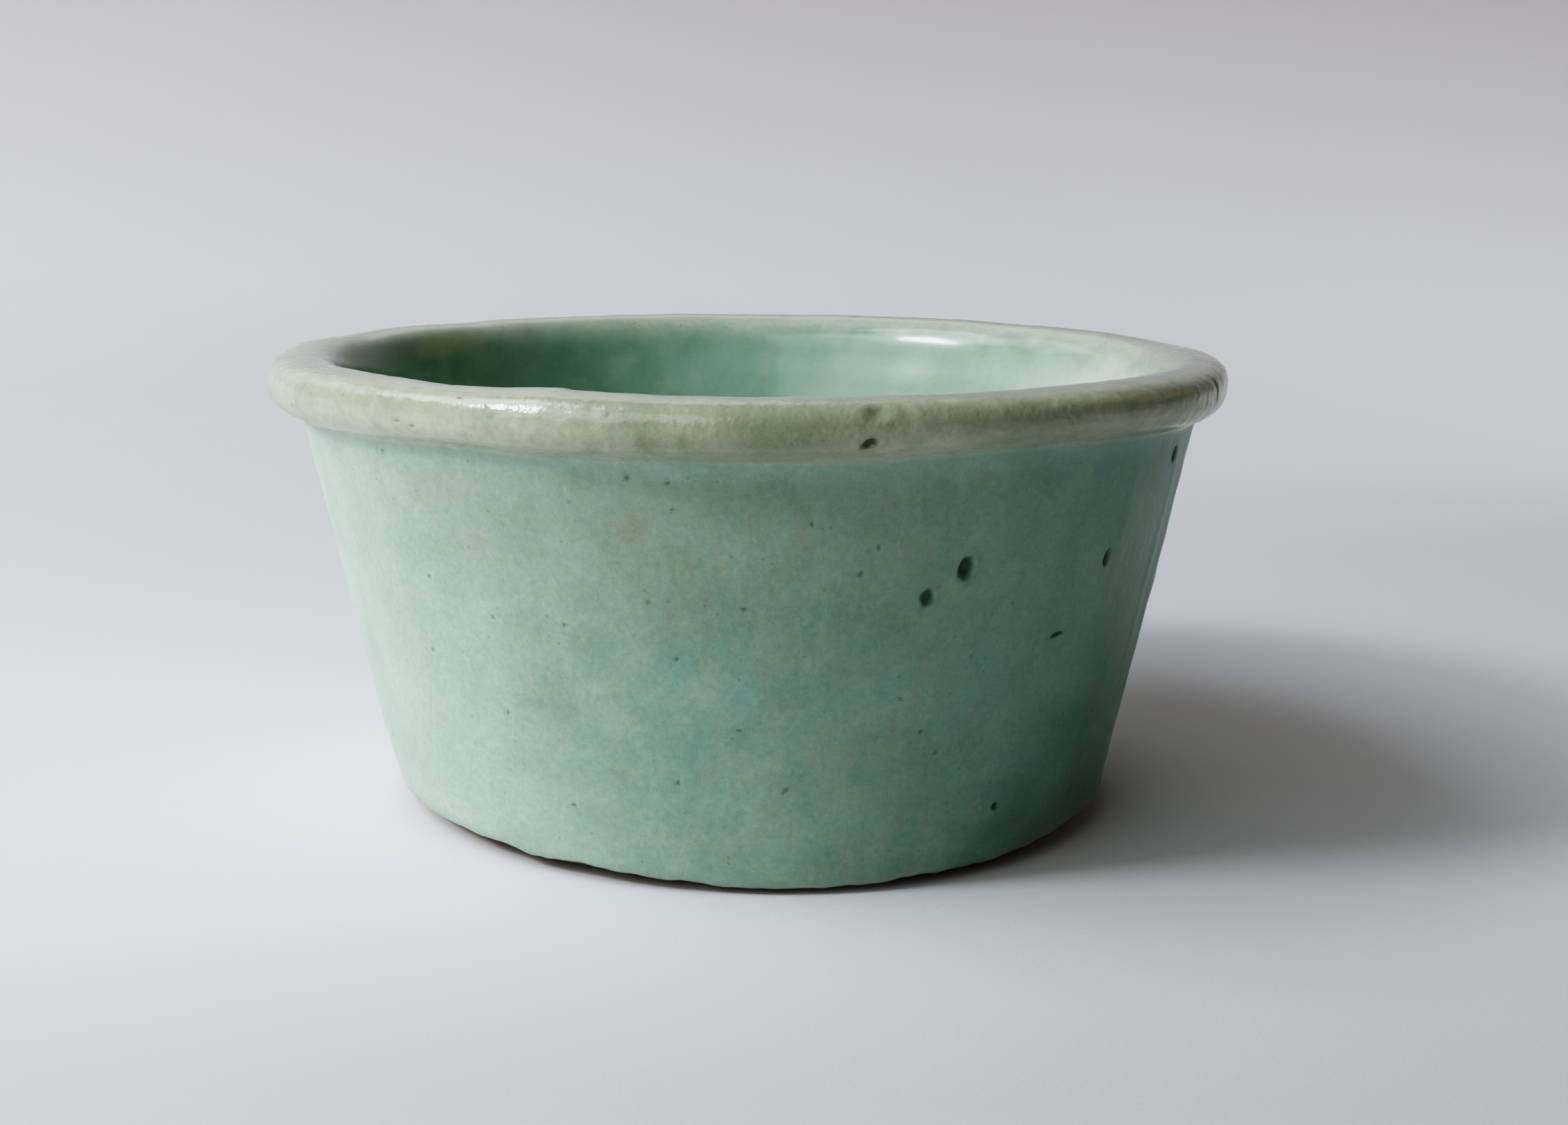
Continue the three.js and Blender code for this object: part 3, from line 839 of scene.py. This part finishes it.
    # Milky glaze on the bowl's right side, partly painted light where the lamps fall on it.
    inside = n.mix(n.math("MULTIPLY", n.attribute("milky_and_painted_light"), n.remap(cloud, 0.3, 0.7, 0.65, 0.9)), inside, (0.685, 0.738, 0.610))
    inside = n.mix(n.math("MULTIPLY", n.remap(mottle, 0.52, 0.74), 0.25), inside, (0.490, 0.575, 0.470))
    inside = n.mix(n.math("MULTIPLY", n.remap(hue, 0.54, 0.76), 0.3), inside, (0.410, 0.425, 0.315))
    colour = n.mix(bowl, n.mix(rim, wall, over), inside)
    # Grain of bubbles and iron through all of it.
    tone = n.math("ADD", n.remap(fine, 0.25, 0.75, 1 - 0.11 * grain, 1 + 0.11 * grain), n.remap(dust, 0.25, 0.75, -0.065 * grain, 0.065 * grain))
    colour = n.mix(1.0, colour, tone, "MULTIPLY")
    spots = n.cells(0.95)
    rare = n.remap(spots.outputs["Color"], 0.70, 0.72)
    dots = n.math("MULTIPLY", n.remap(spots.outputs["Distance"], 0.17, 0.10), rare)
    colour = n.mix(n.math("MULTIPLY", dots, 0.36 * grain), colour, (0.130, 0.175, 0.100))
    pale_cells = n.cells(0.6)
    pale = n.math("MULTIPLY", n.remap(pale_cells.outputs["Distance"], 0.22, 0.08), n.remap(pale_cells.outputs["Color"], 0.62, 0.66))
    colour = n.mix(n.math("MULTIPLY", pale, 0.16 * grain), colour, (0.56, 0.63, 0.52))
    colour = n.mix(n.math("MULTIPLY", speck, 0.72), colour, n.mix(rim, (0.055, 0.090, 0.055), (0.095, 0.100, 0.050)))
    # Pits: dark pooled glaze, and partly painted shade in their hollows.
    colour = n.mix(n.math("MULTIPLY", pit, 0.92), colour, n.mix(rim, (0.024, 0.080, 0.056), (0.085, 0.085, 0.040)))
    n.link(colour, n.shader.inputs["Base Color"])
    rough = n.math("ADD", n.remap(mottle, 0.3, 0.7, rough_low, rough_high), n.remap(fine, 0.3, 0.7, -0.03, 0.03))
    rough = n.math("ADD", rough, n.math("MULTIPLY", pit, n.remap(rim, 0, 1, 0.15, 0.02)))
    n.link(rough, n.shader.inputs["Roughness"])
    skin = n.math("ADD", n.math("MULTIPLY", fine, 0.75), n.math("MULTIPLY", dust, 0.25))
    waves = n.bump(n.noise(0.95, 2, 0.5, 0.0, n.shifted(530)), wave, n.remap(n.attribute("top"), 0, 1, 1.0, 0.12))
    n.link(n.bump(skin, 0.015 * grain, n.remap(n.attribute("top"), 0, 1, 0.8, 0.2), waves), n.shader.inputs["Normal"])
    n.shader.inputs["IOR"].default_value = 1.5
    return n.material


def clay():
    n = Nodes("bare_fired_clay")
    cloud, grit, fine = n.noise(5.0, 5, 0.6), n.noise(0.8, 5, 0.65), n.noise(0.16, 3, 0.6)
    colour = n.mix(n.remap(cloud, 0.3, 0.7), (0.312, 0.204, 0.118), (0.420, 0.296, 0.182))
    colour = n.mix(n.math("MULTIPLY", n.remap(grit, 0.52, 0.7), 0.6), colour, (0.250, 0.160, 0.088))
    colour = n.mix(n.math("MULTIPLY", n.remap(fine, 0.55, 0.75), 0.35), colour, (0.600, 0.430, 0.270))
    sand = n.cells(0.7)
    grains = n.math("MULTIPLY", n.remap(sand.outputs["Distance"], 0.24, 0.14), n.remap(sand.outputs["Color"], 0.6, 0.62))
    colour = n.mix(n.math("MULTIPLY", grains, 0.5), colour, (0.140, 0.075, 0.040))
    # Darker clay up the bevel under the glaze edge: partly the clay's own tone, partly painted shade in that recess.
    colour = n.mix(n.math("MULTIPLY", n.attribute("darker_clay_and_painted_shade"), 0.35), colour, (0.230, 0.155, 0.085))
    colour = n.mix(n.math("MULTIPLY", n.attribute("worn"), n.remap(grit, 0.35, 0.65, 0.1, 0.5)), colour, (0.520, 0.350, 0.210))
    n.link(colour, n.shader.inputs["Base Color"])
    n.link(n.remap(grit, 0.3, 0.7, 0.72, 0.9), n.shader.inputs["Roughness"])
    n.link(n.bump(n.math("ADD", grit, n.math("MULTIPLY", fine, 0.4)), 0.12, 0.9), n.shader.inputs["Normal"])
    return n.material


def paper():
    n = Nodes("pale_paper")
    cloud, tooth = n.noise(60.0, 3, 0.5), n.noise(0.35, 4, 0.6)
    colour = n.mix(n.remap(cloud, 0.3, 0.7), (0.787, 0.796, 0.812), (0.811, 0.819, 0.834))
    height = n.add("ShaderNodeSeparateXYZ")
    n.link(n.place, height.inputs[0])
    # Painted shade: the paper darkens up the backdrop and towards the front of the sheet, where less light reaches it.
    colour = n.mix(n.remap(height.outputs[2], 15, 105), colour, (0.580, 0.542, 0.565))
    colour = n.mix(n.remap(height.outputs[1], -33, -60), colour, (0.675, 0.678, 0.684))
    n.link(n.mix(n.remap(tooth, 0.3, 0.7, 0.0, 0.10), colour, (0.70, 0.70, 0.70)), n.shader.inputs["Base Color"])
    n.shader.inputs["Roughness"].default_value = 0.85
    n.shader.inputs["Specular IOR Level"].default_value = 0.2
    n.link(n.bump(tooth, 0.03, 0.6), n.shader.inputs["Normal"])
    return n.material


outer_glaze.data.materials.append(glaze("wall_glaze_mottled", 0.315, 0.365, 1.0, 0.05))
rim_glaze.data.materials.append(glaze("rim_glaze_thin", 0.12, 0.21, 0.8, 0.095))
inner_glaze.data.materials.append(glaze("bowl_glaze_clear", 0.13, 0.18, 0.4, 0.025))
cup_body.data.materials.append(clay())

for piece, node, slot in (
    (cup_body, "cup_body", "fired_clay"),
    (outer_glaze, "outer_glaze", "wall_glaze"),
    (rim_glaze, "rim_glaze", "rim_glaze"),
    (inner_glaze, "inner_glaze", "bowl_glaze"),
):
    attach(piece, "root")
    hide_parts(node)

# ---------------------------------------------------------------- paper sweep


def sweep():
    """A flat sheet that turns up gently far behind the cup."""
    flat, bend, tall = 0.26, 0.30, 1.1
    line = [(-4.0, 0.0), (-1.0, 0.0), (flat, 0.0)]
    line += [(flat + bend * math.sin(a), bend - bend * math.cos(a)) for a in np.linspace(0, math.pi / 2, 24)[1:]]
    line += [(flat + bend, tall)]
    mesh = bpy.data.meshes.new("paper_sweep")
    points = [(x, y, z) for y, z in line for x in (-4.0, 4.0)]
    faces = [(2 * i, 2 * i + 1, 2 * i + 3, 2 * i + 2) for i in range(len(line) - 1)]
    mesh.from_pydata(points, [], faces)
    mesh.polygons.foreach_set("use_smooth", np.ones(len(mesh.polygons), bool))
    mesh.update()
    obj = bpy.data.objects.new("paper_sweep", mesh)
    bpy.context.scene.collection.objects.link(obj)
    obj.data.materials.append(paper())
    return obj


floor = sweep()

# ---------------------------------------------------------------- camera

PITCH, ROLL = 0.1909, 0.029
forward = Vector((0, math.cos(PITCH), -math.sin(PITCH)))
right, up = Vector((1, 0, 0)), Vector((0, math.sin(PITCH), math.cos(PITCH)))
axis_x = right * math.cos(ROLL) + up * math.sin(ROLL)
axis_y = up * math.cos(ROLL) - right * math.sin(ROLL)
lens = bpy.data.cameras.new("camera")
lens.sensor_fit = "HORIZONTAL"
lens.sensor_width = 36
lens.lens = 3132 / 2268 * 36
lens.clip_start, lens.clip_end = 0.01, 30
camera = bpy.data.objects.new("camera", lens)
bpy.context.scene.collection.objects.link(camera)
camera.matrix_world = Matrix(
    [
        [axis_x.x, axis_y.x, -forward.x, 3.13 * MM],
        [axis_x.y, axis_y.y, -forward.y, -171.6 * MM],
        [axis_x.z, axis_y.z, -forward.z, 51.4 * MM],
        [0, 0, 0, 1],
    ]
)
bpy.context.scene.camera = camera

# ---------------------------------------------------------------- light


def lamp(name, place, aim, size, power, colour):
    """A soft lamp. Places are in metres."""
    data = bpy.data.lights.new(name, "AREA")
    data.shape = "RECTANGLE"
    data.size, data.size_y = size
    data.energy = power
    data.color = colour
    obj = bpy.data.objects.new(name, data)
    bpy.context.scene.collection.objects.link(obj)
    obj.location = place
    obj.rotation_mode = "QUATERNION"
    obj.rotation_quaternion = (Vector(aim) - Vector(place)).to_track_quat("-Z", "Y")
    obj.visible_camera = False
    return obj


MIDDLE = (0, 0, 0.018)


def beside(azimuth, elevation, distance):
    """A place round the cup. The azimuth is in degrees to the left of the camera's side."""
    a, e = math.radians(azimuth), math.radians(elevation)
    back = Vector((-math.sin(a) * math.cos(e), -math.cos(a) * math.cos(e), math.sin(e)))
    return back * distance + Vector(MIDDLE)


lamp("window", beside(63, 34, 0.75), MIDDLE, (0.165, 0.12), 1.62, (0.87, 0.91, 1.0))
lamp("bright_wall", beside(78, 47, 0.75), MIDDLE, (0.46, 0.42), 1.75, (0.81, 0.88, 1.0))
lamp("open_room", beside(35, 30, 1.0), MIDDLE, (0.9, 0.6), 2.22, (0.935, 0.97, 0.99))
lamp("side_room", beside(116, 32, 0.8), MIDDLE, (0.40, 0.30), 0.46, (0.93, 0.95, 1.0))
lamp("pale_curtain", beside(152, 30, 0.55), MIDDLE, (0.5, 0.4), 0.21, (1.0, 0.88, 0.72))
lamp("warm_room", beside(-128, 30, 1.0), MIDDLE, (0.9, 0.6), 0.52, (0.98, 0.76, 0.36))
lamp("backdrop_light", (0.27, 0.16, 0.20), (0.26, 0.50, 0.14), (0.2, 0.2), 0.22, (0.98, 0.98, 1.0))
lamp("table_lamp", (-0.080, -0.030, 0.095), (-0.050, -0.020, 0.0), (0.07, 0.07), 0.025, (0.86, 0.94, 1.0))
shade_lamp = lamp("shade_lamp", (0.098, -0.015, 0.040), (0.086, -0.008, 0.0), (0.04, 0.04), 0.0006, (0.62, 0.78, 1.0))
shade_lamp.visible_glossy = False

world = bpy.data.worlds.new("room")
bpy.context.scene.world = world
world.use_nodes = True
background = world.node_tree.nodes["Background"]
background.inputs["Color"].default_value = (1.0, 0.93, 0.82, 1)
background.inputs["Strength"].default_value = 0.004


def film(view):
    """A film-like tone curve, x**1.7 / (x**1.7 + 0.344**1.7), which deepens shadows and rolls off highlights."""
    view.view_transform, view.look = "Standard", "None"
    view.use_curve_mapping = True
    mapping = view.curve_mapping
    mapping.white_level = (2, 2, 2)
    mapping.extend = "EXTRAPOLATED"
    curve = mapping.curves[3]
    tone = lambda x: x**1.7 / (x**1.7 + 0.344**1.7)
    curve.points[0].location, curve.points[1].location = (0, 0), (1, tone(2))
    for x in (0.03, 0.06, 0.1, 0.15, 0.21, 0.28, 0.36, 0.46, 0.6, 0.78, 1.0, 1.3, 1.65):
        curve.points.new(x / 2, tone(x))
    mapping.update()


film(bpy.context.scene.view_settings)
